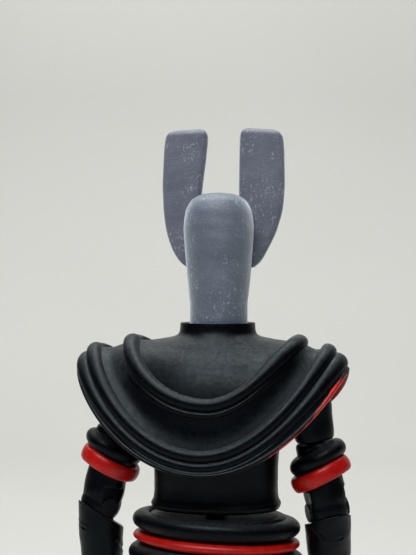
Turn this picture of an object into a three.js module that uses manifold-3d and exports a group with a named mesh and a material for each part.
// An articulated toy figure, about 180 mm tall: a long-necked head with two tall flat ears, a black costume
// with a draped mantle, rolled sleeves and belt with red bands, and pinned limbs.
// Millimetres, +Z up. The figure faces -Y, its left side is +X, and it stands on z = 0.
import * as THREE from "three";
import { mergeVertices } from "three/addons/utils/BufferGeometryUtils.js";
import Module from "manifold-3d";

const wasm = await Module();
wasm.setup();

// ---- Driving dimensions ----
const GAP = 0.2; // between pieces that touch or turn in each other
const COLLAR_TOP = 137.3;
const CROWN = 166.2;
const NECK_Y = -3; // the neck stands forward of the shoulders
const NECK_PIVOT = 139.5;
const SHOULDER = { x: 19.6, z: 124 };
const UPPER_ARM = 27.5; // shoulder centre to elbow pin
const BICEP_CUT = { left: 10.2, right: 12.6 }; // shoulder centre to the swivel below the shoulder
const FOREARM = 24; // elbow pin to wrist
const ARM_SPREAD = { left: 13, right: 10 }; // degrees from hanging straight down
const ARM_TWIST = { left: 50, right: 20 }; // degrees that the crook of the elbow faces inwards
const ARM_BEND = { left: 15, right: 25 }; // degrees at the elbow
const TORSO_FOOT = 96.7;
const BELT_SLANT = 2.6; // degrees, higher on the left
const HIP = { x: 10.8, z: 77.5 };
const THIGH = 34; // hip centre to knee pin
const SHIN = 34.5; // knee pin to ankle pin
const LEG_SPREAD = 2.5; // degrees
const TOE_OUT = 8; // degrees
const ANKLE_Z = HIP.z - (THIGH + SHIN) * Math.cos(rad(LEG_SPREAD));

const MATERIALS = {
  skin: new THREE.MeshStandardMaterial({ color: 0x747b88, roughness: 0.55 }),
  costume: new THREE.MeshStandardMaterial({ color: 0x17191b, roughness: 0.6 }),
  mantle: new THREE.MeshStandardMaterial({ color: 0x1e2123, roughness: 0.65 }),
  red: new THREE.MeshStandardMaterial({ color: 0xa01412, roughness: 0.45 }),
  peg: new THREE.MeshStandardMaterial({ color: 0x101112, roughness: 0.4 }),
};

function rad(degrees) {
  return THREE.MathUtils.degToRad(degrees);
}

// ---- Solids ----
// A closed geometry as a manifold-3d solid that faces out.
function solidOf(geometry) {
  const bare = geometry.index ? geometry.toNonIndexed() : geometry.clone();
  bare.deleteAttribute("normal");
  bare.deleteAttribute("uv");
  const merged = mergeVertices(bare, 1e-4);
  const vertProperties = merged.attributes.position.array;
  const triVerts = new Uint32Array(merged.index.array);
  const solid = new wasm.Manifold(new wasm.Mesh({ numProp: 3, vertProperties, triVerts }));
  if (solid.volume() > 0) return solid;
  for (let i = 0; i < triVerts.length; i += 3) {
    [triVerts[i + 1], triVerts[i + 2]] = [triVerts[i + 2], triVerts[i + 1]];
  }
  return new wasm.Manifold(new wasm.Mesh({ numProp: 3, vertProperties, triVerts }));
}

function geometryOf(solid) {
  const { numProp, numVert, vertProperties, triVerts } = solid.getMesh();
  const position = new Float32Array(numVert * 3);
  for (let i = 0; i < numVert; i++) {
    position.set(vertProperties.subarray(i * numProp, i * numProp + 3), i * 3);
  }
  const geometry = new THREE.BufferGeometry();
  geometry.setAttribute("position", new THREE.BufferAttribute(position, 3));
  geometry.setIndex(new THREE.BufferAttribute(triVerts, 1));
  geometry.computeVertexNormals();
  return geometry;
}

const joined = (...solids) => solids.reduce((a, b) => a.add(b));
const cut = (solid, ...tools) => tools.reduce((a, b) => a.subtract(b), solid);

function box(lowX, highX, lowY, highY, lowZ, highZ) {
  const geometry = new THREE.BoxGeometry(highX - lowX, highY - lowY, highZ - lowZ);
  geometry.translate((lowX + highX) / 2, (lowY + highY) / 2, (lowZ + highZ) / 2);
  return solidOf(geometry);
}

function ball(radius, x = 0, y = 0, z = 0, around = 14) {
  const rings = Math.round(around * 0.6);
  return solidOf(new THREE.SphereGeometry(radius, around, rings).rotateX(Math.PI / 2).translate(x, y, z));
}

// A rod from one point to another.
function rod(from, to, radius, sides = 10) {
  const a = new THREE.Vector3(...from);
  const b = new THREE.Vector3(...to);
  const way = b.clone().sub(a);
  const geometry = new THREE.CylinderGeometry(radius, radius, way.length(), sides);
  geometry.applyQuaternion(new THREE.Quaternion().setFromUnitVectors(new THREE.Vector3(0, 1, 0), way.normalize()));
  geometry.translate(...a.add(b).multiplyScalar(0.5));
  return solidOf(geometry);
}

// A round solid about Z from a closed profile of [radius, z] points.
function turned(profile, sides = 24) {
  const points = [...profile, profile[0]].map(([r, z]) => new THREE.Vector2(r, z));
  return new THREE.LatheGeometry(points, sides).rotateX(Math.PI / 2);
}

// A padded ring: a half round outside, flat where it sits on what it goes round.
function paddedRing(inner, outer, halfHeight, sides = 20, steps = 4) {
  const profile = [];
  for (let i = 0; i <= steps; i++) {
    const t = -Math.PI / 2 + (Math.PI * i) / steps;
    profile.push([inner + 0.4 + (outer - inner - 0.4) * Math.cos(t), halfHeight * Math.sin(t)]);
  }
  profile.push([inner, halfHeight * 0.8], [inner, -halfHeight * 0.8]);
  return turned(profile, sides);
}

// A skin over level sections. Each is { z, x, y, wide, front, back, square }: its centre, its half width, its reach
// towards -Y and +Y, and how square it is (2 is an ellipse).
function loft(sections, segments = 16) {
  const vertices = [];
  const faces = [];
  for (const { z, x = 0, y = 0, wide, front, back = front, square = 2 } of sections) {
    for (let i = 0; i < segments; i++) {
      const t = (2 * Math.PI * i) / segments;
      const c = Math.cos(t);
      const s = Math.sin(t);
      const px = wide * Math.sign(c) * Math.abs(c) ** (2 / square);
      const py = (s > 0 ? back : front) * Math.sign(s) * Math.abs(s) ** (2 / square);
      vertices.push(x + px, y + py, z);
    }
  }
  const rings = sections.length;
  for (let k = 0; k + 1 < rings; k++) {
    for (let i = 0; i < segments; i++) {
      const a = k * segments + i;
      const b = k * segments + ((i + 1) % segments);
      faces.push(a, b, b + segments, a, b + segments, a + segments);
    }
  }
  for (const [ring, up] of [[0, false], [rings - 1, true]]) {
    const { z, x = 0, y = 0 } = sections[ring];
    const middle = vertices.length / 3;
    vertices.push(x, y, z);
    for (let i = 0; i < segments; i++) {
      const a = ring * segments + i;
      const b = ring * segments + ((i + 1) % segments);
      faces.push(...(up ? [a, b, middle] : [b, a, middle]));
    }
  }
  const geometry = new THREE.BufferGeometry();
  geometry.setAttribute("position", new THREE.Float32BufferAttribute(vertices, 3));
  geometry.setIndex(faces);
  return geometry;
}

// The same sections, larger all round by a margin, or smaller if it is negative.
const grown = (sections, by) =>
  sections.map((s) => ({ ...s, wide: s.wide + by, front: s.front + by, back: (s.back ?? s.front) + by }));

function mesh(name, shape, material, parent) {
  const geometry = shape.isBufferGeometry ? shape : geometryOf(shape);
  const made = new THREE.Mesh(geometry, material);
  made.name = name;
  parent.add(made);
  return made;
}

// A body's group: named for its joint, placed in its parent body's group.
function body(name, parent, { x = 0, y = 0, z = 0 }, turn = [0, 0, 0]) {
  const group = new THREE.Group();
  group.name = name;
  group.position.set(x, y, z);
  group.rotation.set(...turn.map(rad));
  parent.add(group);
  return group;
}

// ---- Knuckle joints: pivot at the origin, pin along X, crook towards -Y ----
// The upper limb ends in a ball with a slot, and the lower limb has a tongue in the slot and a cup round the ball.
const SLOT = 1.4; // half the slot's width
const TONGUE = SLOT - GAP;
const PIN = 0.9;
const PIN_HOLE = PIN + 0.1;
const PIN_HEAD = { radius: 0.45, thick: 0.5 }; // the head's radius is this share of the ball's

const pinHole = (r) => rod([-r - 2, 0, 0], [r + 2, 0, 0], PIN_HOLE);
// Flats on the ball's two sides, which the pin's heads sit on.
const cheeks = (r) => [box(r - 0.6, r + 3, -r, r, -r, r), box(-r - 3, -r + 0.6, -r, r, -r, r)];

function knuckleSlot(r, openTo) {
  const disc = rod([-SLOT, 0, 0], [SLOT, 0, 0], r * 0.8 + GAP, 16);
  return joined(disc, box(-SLOT, SLOT, -r - 4, openTo, -r - 4, openTo));
}

function tongue(r, length) {
  const disc = rod([-TONGUE, 0, 0], [TONGUE, 0, 0], r * 0.8, 16);
  return cut(joined(disc, box(-TONGUE, TONGUE, -r * 0.55, r * 0.5, -length, 0)), pinHole(r));
}

// Takes away all that is above a plane through z = level that falls towards -Y by slope.
function above(level, slope, reach = 20) {
  const outline = new THREE.Shape();
  outline.moveTo(-reach, level - slope * reach);
  outline.lineTo(reach, level + slope * reach);
  outline.lineTo(reach, level + 2 * reach);
  outline.lineTo(-reach, level + 2 * reach);
  outline.closePath();
  const slab = new THREE.ExtrudeGeometry(outline, { depth: 2 * reach, bevelEnabled: false });
  slab.translate(0, 0, -reach);
  slab.applyMatrix4(new THREE.Matrix4().set(0, 0, 1, 0, 1, 0, 0, 0, 0, 1, 0, 0, 0, 0, 0, 1));
  return solidOf(slab);
}

function knucklePin(name, r, parent) {
  const seat = r - 0.6 + GAP / 2;
  const head = r * PIN_HEAD.radius;
  const pin = joined(
    rod([-seat - 0.1, 0, 0], [seat + 0.1, 0, 0], PIN),
    rod([seat, 0, 0], [seat + PIN_HEAD.thick, 0, 0], head),
    rod([-seat - PIN_HEAD.thick, 0, 0], [-seat, 0, 0], head),
  );
  return mesh(name, pin, MATERIALS.peg, parent);
}

// ---- Ball hinges at the shoulders and hips ----
// The hub turns on a shaft along X, towards the body, and the limb's ball turns on a pin along Y through the hub's disc.
const HUB = { half: 1.1, shaft: 1.2, flange: 2.6 };

function hub(side, discRadius, shaftLength) {
  const end = -side * shaftLength;
  const disc = rod([0, -HUB.half, 0], [0, HUB.half, 0], discRadius, 16);
  const shaft = rod([0, 0, 0], [end, 0, 0], HUB.shaft);
  const flange = rod([end, 0, 0], [end + side * 1.2, 0, 0], HUB.flange, 14);
  return cut(joined(disc, shaft, flange), rod([0, -4, 0], [0, 4, 0], PIN_HOLE));
}

// The room that the hub's shaft and flange need in the body.
function hubSeat(side, x, z, limbBall, shaftLength) {
  const end = x - side * shaftLength;
  return joined(
    ball(limbBall + 0.45, x, 0, z, 20),
    rod([x, 0, z], [end, 0, z], HUB.shaft + 0.15),
    rod([end - side * GAP, 0, z], [end + side * (1.2 + GAP), 0, z], HUB.flange + 0.15, 14),
  );
}

// The slot in a limb's ball for the hub's disc, open towards the body and upwards.
function hubSlot(side, radius, discRadius) {
  const half = HUB.half + GAP;
  const inwards = -side * (radius + 2);
  const low = Math.min(0, inwards);
  const high = Math.max(0, inwards);
  return joined(
    rod([0, -half, 0], [0, half, 0], discRadius + GAP, 16),
    box(low, high, -half, half, -1.9, radius + 2),
    rod([0, -radius - 2, 0], [0, radius + 2, 0], PIN_HOLE),
  );
}

function hubPin(name, radius, parent) {
  return mesh(name, rod([0, -radius * 0.8, 0], [0, radius * 0.8, 0], PIN), MATERIALS.peg, parent);
}

// ---- Pelvis and belt ----
const PELVIS = [
  { z: 70.6, wide: 1.7, front: 3.2, back: 3.6 },
  { z: 72.5, wide: 2.4, front: 5.5, back: 5.8 },
  { z: 77, wide: 5.4, front: 8, back: 8.5, square: 2.4 },
  { z: 81, wide: 9.5, front: 8.9, back: 9.2, square: 2.3 },
  { z: 84, wide: 13, front: 9.2, back: 9.3 },
  { z: 88, wide: 13.5, front: 9.3, back: 9.3 },
  { z: 95.4, wide: 12.2, front: 8.8, back: 8.6 },
];
const BELT = {
  top: { z: 93.4, wide: 18.5, half: 2.05 },
  band: { z: 89.9, wide: 18.4, half: 1.15 },
  lower: { z: 86.1, wide: 19.6, half: 2.45 },
};
const BELT_DEPTH = 0.69; // a belt ring's depth over its width
const HIP_BALL = 5.8;
const HIP_DISC = 3.3;
const HIP_SHAFT = 9.4;
const WAIST_BALL = 3.6;
const WAIST_Z = 99;

// What the thighs' tops sweep as they swing, taken out of the pelvis.
function thighRoom() {
  const profile = [[0, 4.6], [5, 4.2], [6.6, 3.1], [8.5, 2.4], [20, 2.4], [20, 20], [0, 20]];
  const made = turned(profile, 20).rotateY(Math.PI / 2).translate(0, 0, HIP.z);
  const left = solidOf(made);
  const right = solidOf(made.clone().rotateZ(Math.PI));
  const below = joined(box(-30, 30, -30, 30, 50, HIP.z), box(-30, 30, -30, -2, 50, HIP.z + 3.5));
  return [left.intersect(below), right.intersect(below)];
}

function pelvis(root) {
  const seats = [1, -1].map((side) => hubSeat(side, side * HIP.x, HIP.z, HIP_BALL, HIP_SHAFT));
  const postHole = rod([0, 0, 88], [0, 0, 97], 2.2 + 0.15, 14);
  mesh("pelvis", cut(solidOf(loft(PELVIS, 20)), ...seats, ...thighRoom(), postHole), MATERIALS.costume, root);
  const post = joined(rod([0, 0, 88.3], [0, 0, WAIST_Z], 2.2, 14), ball(WAIST_BALL, 0, 0, WAIST_Z));
  mesh("waist_post", post, MATERIALS.peg, root);
  const names = { top: "belt_top_roll", band: "belt_red_band", lower: "belt_lower_roll" };
  for (const [key, ring] of Object.entries(BELT)) {
    const inner = key === "lower" ? 14.5 : 14.9;
    const made = paddedRing(inner, ring.wide, ring.half, 26);
    made.scale(1, BELT_DEPTH, 1);
    const placed = mesh(names[key], made, key === "band" ? MATERIALS.red : MATERIALS.costume, root);
    placed.position.z = ring.z;
    placed.rotation.y = -rad(BELT_SLANT);
  }
}

// ---- Torso ----
const WALL = 1.5;
const TORSO = [
  { z: TORSO_FOOT, wide: 13.9, front: 10.6, back: 9.5, square: 2.3 },
  { z: 97.8, wide: 14.3, front: 11, back: 9.9, square: 2.3 },
  { z: 98.9, wide: 13.8, front: 10.4, back: 9.2, square: 2.3 },
  { z: 104, wide: 13.6, front: 10.8, back: 9.4, square: 2.3 },
  { z: 112, wide: 14.2, front: 12, back: 10.4, square: 2.3 },
  { z: 118, wide: 16.2, front: 12.4, back: 10.8, square: 2.3 },
  { z: 122.5, wide: 17.6, front: 12.4, back: 10.4, square: 2.2 },
  { z: 126.5, wide: 17, front: 11.8, back: 9, square: 2.1 },
  { z: 129.3, wide: 13.6, front: 11.2, back: 7.4 },
  { z: 131.4, wide: 10, front: 10.2, back: 5 },
  { z: 132.7, wide: 6.9, y: NECK_Y, front: 6.7, back: 6.7 },
];
const NECK_BALL = 2.8;
const NECK_BALL_Z = 129.4;
const SHOULDER_BALL = 5.2;
const SHOULDER_DISC = 3.1;
const SHOULDER_SHAFT = 9;
const COLLAR_BORE = 7.2;

// What a shoulder and arm sweep as they swing, with the arm drawn in, taken out of the torso.
function armRoom(side) {
  const profile = [[0, -5.8], [3, -5.4], [5, -5], [8, -4.7], [13, -4.4], [22, -4.4], [22, 9], [0, 9]];
  const made = turned(profile, 20).rotateY(Math.PI / 2).translate(SHOULDER.x, 0, SHOULDER.z);
  return solidOf(side > 0 ? made : made.rotateZ(Math.PI));
}

function torso(group) {
  const outer = solidOf(loft(TORSO, 20));
  const inside = grown(TORSO.slice(0, 8), -WALL).map((s, i) => (i ? s : { ...s, z: s.z + WALL }));
  const hollow = solidOf(loft(inside, 14));
  const column = rod([0, 0, TORSO_FOOT], [0, 0, 131], 5.2, 12);
  const neckColumn = rod([0, NECK_Y, 122], [0, NECK_Y, 132.6], 6, 12);
  const beam = rod([-SHOULDER.x, 0, SHOULDER.z], [SHOULDER.x, 0, SHOULDER.z], 4.4, 12);
  const spine = joined(column, neckColumn, beam).intersect(outer);
  const neckSocket = joined(
    ball(NECK_BALL + 0.15, 0, NECK_Y, NECK_BALL_Z),
    rod([0, NECK_Y, NECK_BALL_Z], [0, NECK_Y, COLLAR_TOP], 2.3),
  );
  const waistSocket = joined(
    ball(WAIST_BALL + 0.15, 0, 0, WAIST_Z),
    rod([0, 0, TORSO_FOOT - 1], [0, 0, WAIST_Z], 2.9),
  );
  const rooms = [1, -1].flatMap((side) => [
    armRoom(side),
    hubSeat(side, side * SHOULDER.x, SHOULDER.z, SHOULDER_BALL, SHOULDER_SHAFT),
  ]);
  const whole = cut(joined(cut(outer, hollow), spine), neckSocket, waistSocket, ...rooms);
  const seam = GAP / 4;
  mesh("torso_back", whole.intersect(box(-40, 40, seam, 40, 80, 150)), MATERIALS.costume, group);
  mesh("torso_front", whole.intersect(box(-40, 40, -40, -seam, 80, 150)), MATERIALS.costume, group);
}

// ---- Mantle: a moulded cowl with a stand collar and rolled folds, which lies over the shoulders ----
// Rings from the collar's top to the rim. Each is an ellipse that sags: its middle, half width, reach back and
// front, height at the sides, and how far it sags at the back and front. The cowl hangs askew, so its two sides
// fall by different powers of the cosine.
const MANTLE = [
  { y: NECK_Y, wide: 8.25, back: 8.25, front: 8.25, side: COLLAR_TOP, sag: 0, dip: 0 },
  { y: -2.9, wide: 8.9, back: 8.8, front: 8.8, side: 134.7, sag: 0, dip: 0 },
  { y: -1.6, wide: 12.4, back: 10.2, front: 10.6, side: 133.8, sag: 1.9, dip: 1.2, fall: 1.2 },
  { y: -0.6, wide: 15.8, back: 13.3, front: 13.2, side: 133.4, sag: 6, dip: 4, fall: 1.3, fallRight: 1.7 },
  { y: 0, aside: 0.3, wide: 18.9, back: 15.3, front: 14.8, side: 133.3, sag: 13.2, dip: 9.5,
    fall: 1.36, fallRight: 2.7, frontRight: 2 },
  { y: 0, aside: 0.8, wide: 22.5, back: 15.5, front: 16, side: 131.8, sag: 17.2, dip: 12,
    fall: 1.45, fallRight: 2.4, frontRight: 1.6 },
  { y: 0, aside: 1.2, wide: 26, back: 16.9, front: 17.2, side: 131.4, sag: 21.3, dip: 15,
    fall: 1.6, fallRight: 2, frontRight: 1.35 },
  { y: 0, aside: 0.9, wide: 30.05, back: 17.8, front: 18.2, side: 127.6, sag: 21.6, dip: 17,
    fall: 1.58, fallRight: 1.85, frontRight: 1.15 },
];
const FRONT_FALL = 2.6; // the front hangs in a narrower V on the left
const MANTLE_THICK = 1;
// Each roll: the ring it runs on, or part of the way between two, its height and its half width.
const ROLLS = [
  { at: 4, high: 1.6, half: 0.3 },
  { at: 4.48, high: 0.5, half: 0.16 },
  { at: 6, high: 1.5, half: 0.26 },
  { at: 6.45, high: 0.7, half: 0.22 },
  { at: 6.93, high: 0.45, half: 0.1 },
];

function rollHeight(v) {
  let height = 0;
  for (const { at, high, half } of ROLLS) {
    const d = Math.abs(v - at) / half;
    if (d < 1) height = Math.max(height, high * Math.sqrt(1 - d * d));
  }
  return height;
}

// A point of the mantle at an angle from the middle of the back, towards the left, and a place across its rings.
function mantlePoint(angle, v) {
  const c = Math.cos(angle);
  const s = Math.sin(angle);
  const points = MANTLE.map((ring) => {
    const { fall = 1, fallRight = fall, frontRight = FRONT_FALL } = ring;
    const behind = ring.sag * Math.max(c, 0) ** (s > 0 ? fall : fallRight);
    const ahead = ring.dip * Math.max(-c, 0) ** (s > 0 ? FRONT_FALL : frontRight);
    const reach = c > 0 ? ring.back : ring.front;
    return new THREE.Vector3((ring.aside ?? 0) + ring.wide * s, ring.y + reach * c, ring.side - behind - ahead);
  });
  return new THREE.CatmullRomCurve3(points, false, "catmullrom", 0.5).getPoint(v / (MANTLE.length - 1));
}

function mantleNormal(angle, v) {
  const last = MANTLE.length - 1;
  const along = mantlePoint(angle + 0.01, v).sub(mantlePoint(angle - 0.01, v));
  const across = mantlePoint(angle, Math.min(v + 0.05, last)).sub(mantlePoint(angle, Math.max(v - 0.05, 0)));
  return along.cross(across).normalize();
}

function mantle(group) {
  const around = 36;
  const outside = [0, 1, 2, 3, 3.7, 3.78, 4, 4.22, 4.36, 4.48, 4.64, 5.2, 5.74, 5.82, 6, 6.18, 6.3, 6.45, 6.66, 7];
  const inside = [7, 6, 5, 4, 3, 2, 1, 0];
  const vertices = [];
  for (let i = 0; i < around; i++) {
    const angle = (2 * Math.PI * (i + 0.5)) / around;
    for (const v of outside) {
      vertices.push(...mantlePoint(angle, v).addScaledVector(mantleNormal(angle, v), rollHeight(v)));
    }
    for (const v of inside) {
      vertices.push(...mantlePoint(angle, v).addScaledVector(mantleNormal(angle, v), -MANTLE_THICK));
    }
  }
  const loop = outside.length + inside.length;
  const faces = [];
  for (let i = 0; i < around; i++) {
    const next = ((i + 1) % around) * loop;
    for (let j = 0; j < loop; j++) {
      const k = (j + 1) % loop;
      faces.push(i * loop + j, next + j, next + k, i * loop + j, next + k, i * loop + k);
    }
  }
  const geometry = new THREE.BufferGeometry();
  geometry.setAttribute("position", new THREE.Float32BufferAttribute(vertices, 3));
  geometry.setIndex(faces);
  const clear = solidOf(loft(grown(TORSO, GAP), 20));
  mesh("mantle", cut(solidOf(geometry), clear), MATERIALS.mantle, group);
}

// ---- Neck, head and ears ----
const HEAD = [
  { z: 135.2, y: NECK_Y, wide: 6.25, front: 6.25, back: 6.25 },
  { z: 141.5, y: NECK_Y, wide: 6.3, front: 6.6, back: 6.4, square: 2.2 },
  { z: 143.3, y: NECK_Y, wide: 6.5, front: 10.2, back: 6.5, square: 2.2 },
  { z: 147, y: NECK_Y, wide: 6.8, front: 11.6, back: 6.7, square: 2.2 },
  { z: 153, y: NECK_Y, wide: 7.4, front: 11.4, back: 7.2, square: 2.3 },
  { z: 158, y: NECK_Y, wide: 7.7, front: 11, back: 7.5, square: 2.3 },
  { z: 162, y: NECK_Y, wide: 7.2, front: 10, back: 7.1, square: 2.4 },
  { z: 164.6, y: NECK_Y, wide: 6, front: 8.2, back: 6.1, square: 2.4 },
  { z: 165.8, y: NECK_Y, wide: 4.2, front: 5.6, back: 4.3, square: 2.2 },
  { z: CROWN, y: NECK_Y, wide: 1.8, front: 2.4, back: 2 },
];
const HEAD_BALL = 3.2;
const EAR = { y: -9.3, half: 1.6, top: 181, root: 149.6 };
const EAR_LEAN = { left: 2.6, right: 1 }; // degrees inwards
const EAR_OUT = { left: 0.6, right: 1 };

function neckAndHead(torsoGroup) {
  const neck = body("neck", torsoGroup, { y: NECK_Y, z: NECK_BALL_Z });
  const rise = NECK_PIVOT - NECK_BALL_Z;
  const post = joined(ball(NECK_BALL), rod([0, 0, 0], [0, 0, rise], 1.7), ball(HEAD_BALL, 0, 0, rise, 12));
  mesh("neck_post", post, MATERIALS.peg, neck);

  const head = body("head", neck, { z: rise });
  const toHead = (geometry) => geometry.translate(0, -NECK_Y, -NECK_PIVOT);
  const socket = joined(ball(HEAD_BALL + 0.15, 0, 0, 0, 12), rod([0, 0, -6], [0, 0, 0], 2.6));
  const whole = cut(solidOf(toHead(loft(HEAD, 20))), socket);

  // An ear's outline for the left side: a flat blade that narrows into the temple.
  const outline = new THREE.Shape();
  outline.moveTo(5.4, EAR.root + 4);
  outline.lineTo(3.6, EAR.top - 1.6);
  outline.quadraticCurveTo(3.7, EAR.top, 5.2, EAR.top);
  outline.lineTo(11.6, EAR.top - 0.3);
  outline.quadraticCurveTo(13.4, EAR.top - 0.5, 13.5, EAR.top - 2.6);
  outline.quadraticCurveTo(13.9, EAR.root + 17, 12.6, EAR.root + 9);
  outline.quadraticCurveTo(11.6, EAR.root + 2, 6.6, EAR.root);
  outline.closePath();
  const ears = [];
  for (const [name, side] of [["left", 1], ["right", -1]]) {
    const blade = new THREE.ExtrudeGeometry(outline, { depth: 2 * EAR.half, bevelEnabled: false, curveSegments: 5 });
    blade.rotateX(Math.PI / 2).translate(0, EAR.y + EAR.half, 0);
    blade.translate(-8, 0, -EAR.root).rotateY(-rad(EAR_LEAN[name])).translate(8 + EAR_OUT[name], 0, EAR.root);
    if (side < 0) blade.scale(-1, 1, 1);
    ears.push([`ear_${name}`, solidOf(toHead(blade))]);
  }
  for (const [name, blade] of ears) {
    mesh(name, cut(blade, solidOf(toHead(loft(grown(HEAD, 0.05), 20)))), MATERIALS.skin, head);
  }
  mesh("head", whole, MATERIALS.skin, head);
}

// ---- Arms ----
const ELBOW = 4.5;
const SLEEVE_ROLL = { outer: 6.7, half: 2, at: { left: 14.6, right: 16 } };
const SLEEVE_BAND = { outer: 6.8, half: 1.7, inner: 5.5, at: { left: 18.2, right: 19.6 } };
const SLEEVE_TILT = { left: 14, right: 17 }; // degrees that the rolls lean further out than the arm

// Something level with the arm's axis, leant as the sleeve's rolls lean, in the frame of the turned sleeve.
function leant(geometry, name, side, at) {
  return geometry
    .rotateY(-rad(side * SLEEVE_TILT[name]))
    .translate(0, 0, -at[name])
    .rotateZ(rad(side * ARM_TWIST[name]));
}

function arm(torsoGroup, name, side) {
  const twist = ARM_TWIST[name];
  const swivel = BICEP_CUT[name];
  const socket = body(`shoulder_swing_${name}`, torsoGroup, { x: side * SHOULDER.x, z: SHOULDER.z });
  mesh(`shoulder_hub_${name}`, hub(side, SHOULDER_DISC, SHOULDER_SHAFT), MATERIALS.peg, socket);

  const upper = body(`shoulder_raise_${name}`, socket, {}, [0, -side * ARM_SPREAD[name], 0]);
  const cap = joined(
    ball(SHOULDER_BALL, 0, 0, 0, 16),
    solidOf(
      loft([
        { z: -1, wide: 5.05, front: 5.05 },
        { z: -5, wide: 5, front: 5.2 },
        { z: -8, wide: 4.6, front: 5 },
        { z: -swivel + GAP, wide: 4.1, front: 4.6 },
      ]),
    ),
  );
  const swivelHole = rod([0, 0, -swivel - 1], [0, 0, -swivel + 4.4], 1.9, 14);
  const upright = hubSlot(side, SHOULDER_BALL, SHOULDER_DISC);
  const slot = solidOf(geometryOf(upright).rotateY(rad(side * ARM_SPREAD[name] * 0.5)));
  mesh(`upper_arm_${name}`, cut(cap, slot, swivelHole), MATERIALS.costume, upper);
  hubPin(`shoulder_pin_${name}`, SHOULDER_BALL, upper);

  const sleeveGroup = body(`bicep_${name}`, upper, {}, [0, 0, -side * twist]);
  const shaft = solidOf(
    loft([
      { z: -swivel, wide: 4.2, front: 4.6 },
      { z: -18, wide: 4.5, front: 4.6 },
      { z: -21.5, wide: 4.6, front: 4.5 },
      { z: -24, wide: 4.75, front: 4.4, back: 4.5 },
      { z: -UPPER_ARM, wide: 4.5, front: 4.1, back: 4.1 },
    ]),
  );
  const ring = paddedRing(3.5, SLEEVE_ROLL.outer, SLEEVE_ROLL.half);
  const roll = solidOf(leant(ring, name, side, SLEEVE_ROLL.at));
  const peg = rod([0, 0, -swivel - 1], [0, 0, -swivel + 4], 1.75, 14);
  const atElbow = (solid) => solidOf(geometryOf(solid).translate(0, 0, -UPPER_ARM));
  const sleeve = cut(
    joined(shaft, roll, peg, ball(ELBOW, 0, 0, -UPPER_ARM, 16)),
    ...[knuckleSlot(ELBOW, 2.7), pinHole(ELBOW), ...cheeks(ELBOW)].map(atElbow),
  );
  mesh(`sleeve_${name}`, sleeve, MATERIALS.costume, sleeveGroup);
  const band = paddedRing(SLEEVE_BAND.inner, SLEEVE_BAND.outer, SLEEVE_BAND.half);
  mesh(`sleeve_band_${name}`, leant(band, name, side, SLEEVE_BAND.at), MATERIALS.red, sleeveGroup);

  const elbow = body(`elbow_${name}`, sleeveGroup, { z: -UPPER_ARM }, [-ARM_BEND[name], 0, 0]);
  knucklePin(`elbow_pin_${name}`, ELBOW, elbow);
  const bare = solidOf(
    loft([
      { z: 1.5, wide: 5, front: 4.8, back: 5 },
      { z: -4, wide: 5.05, front: 4.8, back: 5 },
      { z: -10, wide: 4.7, front: 4.7 },
      { z: -17, wide: 4.3, front: 4.4 },
      { z: -21, wide: 3.9, front: 4 },
      { z: -FOREARM + GAP, wide: 3.7, front: 3.8 },
    ]),
  );
  const cuff = cut(bare, ball(ELBOW + GAP, 0, 0, 0, 16), above(-2.6, 0.75));
  const wristHole = rod([0, 0, -FOREARM - 1], [0, 0, -FOREARM + 4.4], 1.75, 12);
  const reliefs = [1, -1].map((s) => rod([s * 3.8, 0, 0], [s * 8, 0, 0], ELBOW * PIN_HEAD.radius + GAP));
  const forearm = cut(joined(cut(cuff, ...reliefs), tongue(ELBOW, 6.5)), wristHole);
  mesh(`forearm_${name}`, forearm, MATERIALS.costume, elbow);

  const wrist = body(`wrist_${name}`, elbow, { z: -FOREARM }, [0, 0, side * 60]);
  const palm = solidOf(
    loft([
      { z: 0, wide: 2.6, front: 2.8, square: 2.4 },
      { z: -3, wide: 2.6, front: 3.6, square: 2.6 },
      { z: -7.5, wide: 2.5, front: 4.2, square: 3 },
      { z: -12, wide: 2.3, front: 3.9, square: 3 },
      { z: -15.6, wide: 1.9, front: 3, square: 2.6 },
      { z: -16.8, wide: 1.2, front: 2 },
    ], 14),
  );
  const thumb = rod([0.4, -3, -3.5], [1, -5.2, -9.8], 1.35, 8);
  const wristPeg = rod([0, 0, -1], [0, 0, 4], 1.6, 12);
  mesh(`hand_${name}`, joined(palm, thumb, wristPeg), MATERIALS.skin, wrist);
}

// ---- Legs ----
const KNEE = 5.2;
const ANKLE = 4.3;
const FOOT_TONGUE = 1;
const BOOT_ROLL = { at: 12.6, outer: 8, half: 2 };
const BOOT_BAND = { at: 16.2, outer: 8, half: 1.6, inner: 6.3 };

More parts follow.
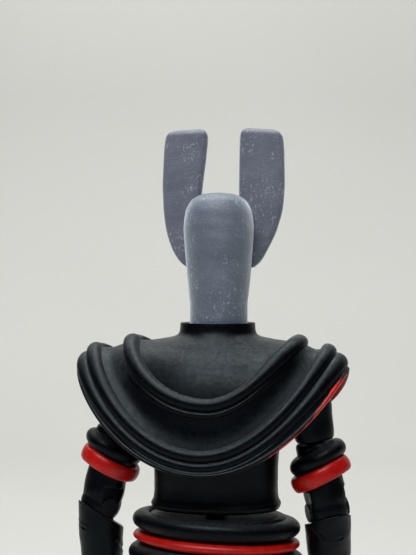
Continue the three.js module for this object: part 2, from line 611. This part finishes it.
function leg(root, name, side) {
  const socket = body(`hip_swing_${name}`, root, { x: side * HIP.x, z: HIP.z });
  mesh(`hip_hub_${name}`, hub(side, HIP_DISC, HIP_SHAFT), MATERIALS.peg, socket);

  const upper = body(`hip_spread_${name}`, socket, {}, [0, -side * LEG_SPREAD, 0]);
  const slot = hubSlot(side, HIP_BALL, HIP_DISC);
  const hipBall = cut(ball(HIP_BALL, 0, 0, 0, 16), slot);
  const thighShape = loft([
    { z: -2, wide: 5.6, front: 5.8 },
    { z: -6, wide: 6.6, front: 7 },
    { z: -12, wide: 7.2, front: 7.6 },
    { z: -20, wide: 6.8, front: 7.1 },
    { z: -28, wide: 5.8, front: 6, back: 5.7 },
    { z: -THIGH, wide: 5.2, front: 5.1, back: 4.9 },
  ]);
  const atKnee = (solid) => solidOf(geometryOf(solid).rotateZ(Math.PI).translate(0, 0, -THIGH));
  const thigh = cut(
    joined(cut(solidOf(thighShape), slot), hipBall, ball(KNEE, 0, 0, -THIGH, 16)),
    ...[knuckleSlot(KNEE, 3.3), pinHole(KNEE), ...cheeks(KNEE)].map(atKnee),
  );
  mesh(`thigh_${name}`, thigh, MATERIALS.costume, upper);
  hubPin(`hip_pin_${name}`, HIP_BALL, upper);

  // The knee's crook faces backwards, so the shin is built turned about.
  const knee = body(`knee_${name}`, upper, { z: -THIGH }, [0, 0, 180]);
  knucklePin(`knee_pin_${name}`, KNEE, knee);
  const bare = solidOf(
    loft([
      { z: 2, wide: 5.8, front: 5.6, back: 5.8 },
      { z: -5, wide: 5.9, front: 5.9, back: 5.9 },
      { z: -11, wide: 5.9, front: 6.4, back: 5.7 },
      { z: -18, wide: 5.9, front: 6.2, back: 5.6 },
      { z: -26, wide: 5, front: 5.2, back: 4.8 },
      { z: -31, wide: 4.4, front: 4.2, back: 4.2 },
      { z: -SHIN, wide: 4.1, front: 3.9, back: 3.9 },
    ]),
  );
  const bootRoll = solidOf(paddedRing(4, BOOT_ROLL.outer, BOOT_ROLL.half).translate(0, 0, -BOOT_ROLL.at));
  const shaft = cut(joined(bare, bootRoll), ball(KNEE + GAP, 0, 0, 0, 16), above(-4.2, 0.75));
  const reliefs = [1, -1].map((s) => rod([s * 4.5, 0, 0], [s * 9, 0, 0], KNEE * PIN_HEAD.radius + GAP));
  const atAnkle = (solid) => solidOf(geometryOf(solid).translate(0, 0, -SHIN));
  const shin = cut(
    joined(cut(shaft, ...reliefs), tongue(KNEE, 8), ball(ANKLE, 0, 0, -SHIN, 14)),
    ...[
      joined(rod([-SLOT, 0, 0], [SLOT, 0, 0], ANKLE * 0.8 + GAP, 16), box(-SLOT, SLOT, -6, 6, -8, 0)),
      pinHole(ANKLE),
      ...cheeks(ANKLE),
    ].map(atAnkle),
  );
  mesh(`shin_${name}`, shin, MATERIALS.costume, knee);
  const band = paddedRing(BOOT_BAND.inner, BOOT_BAND.outer, BOOT_BAND.half).translate(0, 0, -BOOT_BAND.at);
  mesh(`boot_band_${name}`, band, MATERIALS.red, knee);

  const anklePin = knucklePin(`ankle_pin_${name}`, ANKLE, knee);
  anklePin.position.z = -SHIN;

  // The foot stands level, so its group undoes the leg's spread. Its toes turn out.
  const ankle = body(`ankle_${name}`, knee, { z: -SHIN }, [0, -side * LEG_SPREAD, 180]);
  const sole = -ANKLE_Z;
  const shape = new THREE.Shape();
  shape.moveTo(-3.6, 6.2);
  shape.quadraticCurveTo(0, 9, 3.6, 6.2);
  shape.bezierCurveTo(4.4, 2, 5.4, -4, 5.6, -9);
  shape.bezierCurveTo(5.6, -16, 3.4, -18.6, 0, -18.6);
  shape.bezierCurveTo(-3.4, -18.6, -5.6, -16, -5.6, -9);
  shape.bezierCurveTo(-5.4, -4, -4.4, 2, -3.6, 6.2);
  const slab = new THREE.ExtrudeGeometry(shape, { depth: 1.8, bevelEnabled: false, curveSegments: 4 });
  const upperFoot = loft([
    { z: sole + 1.7, y: -6, wide: 5, front: 11.8, back: 12.6, square: 2.4 },
    { z: sole + 4, y: -5.4, wide: 4.9, front: 11, back: 12, square: 2.4 },
    { z: sole + 6, y: -3, wide: 4.8, front: 9, back: 9.2, square: 2.2 },
    { z: sole + 7.6, y: 0.2, wide: 4.8, front: 5.6, back: 5.8 },
    { z: 0, wide: 4.7, front: 4.8, back: 4.8 },
  ]);
  const turnOut = (geometry) => geometry.rotateZ(rad(side * TOE_OUT));
  const cup = cut(
    joined(solidOf(turnOut(slab.translate(0, 0, sole))), solidOf(turnOut(upperFoot))),
    ball(ANKLE + GAP, 0, 0, 0, 14),
    above(-1.2, 0),
  );
  const footTongue = joined(
    rod([-FOOT_TONGUE, 0, 0], [FOOT_TONGUE, 0, 0], ANKLE * 0.75, 12),
    box(-FOOT_TONGUE, FOOT_TONGUE, -2, 2, -6, 0),
  );
  const hinge = cut(footTongue, rod([-4, 0, 0], [4, 0, 0], PIN + 0.25));
  const footReliefs = [1, -1].map((s) => rod([s * 3.6, 0, 0], [s * 9, 0, 0], ANKLE * PIN_HEAD.radius + 0.4));
  mesh(`foot_${name}`, joined(cut(cup, ...footReliefs), hinge), MATERIALS.costume, ankle);
}

// ---- The figure ----
const figure = new THREE.Group();
figure.name = "pelvis_body";
pelvis(figure);
const torsoGroup = body("torso", figure, {});
torso(torsoGroup);
mantle(torsoGroup);
neckAndHead(torsoGroup);
for (const [name, side] of [["left", 1], ["right", -1]]) {
  arm(torsoGroup, name, side);
  leg(figure, name, side);
}

export default figure;
